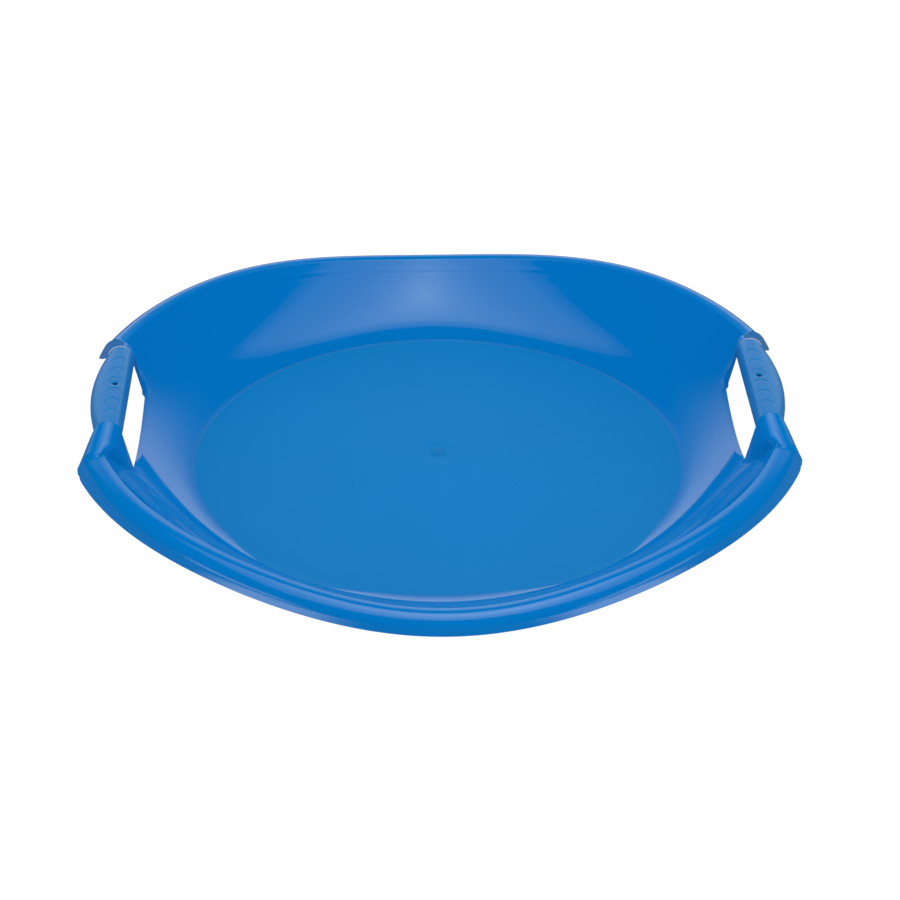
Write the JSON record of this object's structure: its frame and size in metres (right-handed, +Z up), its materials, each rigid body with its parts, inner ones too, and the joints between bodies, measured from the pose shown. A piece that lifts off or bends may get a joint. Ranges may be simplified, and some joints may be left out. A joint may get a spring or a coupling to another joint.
{
  "type": "saucer sled",
  "caption": "Round blue plastic saucer sled with a matte floor, glossy hollow wall, turned-down rim, and a ribbed hand grip over a window at each side.",
  "frame": {"origin": "on the ground, under the middle of the dish", "axes": "+Z up, +X through the middle of the right grip, +Y along the grips, away from the picture's camera"},
  "size_m": [0.5582, 0.5758, 0.0757],
  "materials": {
    "gloss_blue": "glossy injection-moulded polyethylene, with a matte, finely textured floor inside",
    "matte_blue": "matt, finely textured moulding with shallow finger grooves"
  },
  "bodies": {
    "root": {"dish": "gloss_blue", "left_grip_upper": "matte_blue", "left_grip_lower": "matte_blue", "right_grip_upper": "matte_blue", "right_grip_lower": "matte_blue"}
  },
  "joints": []
}
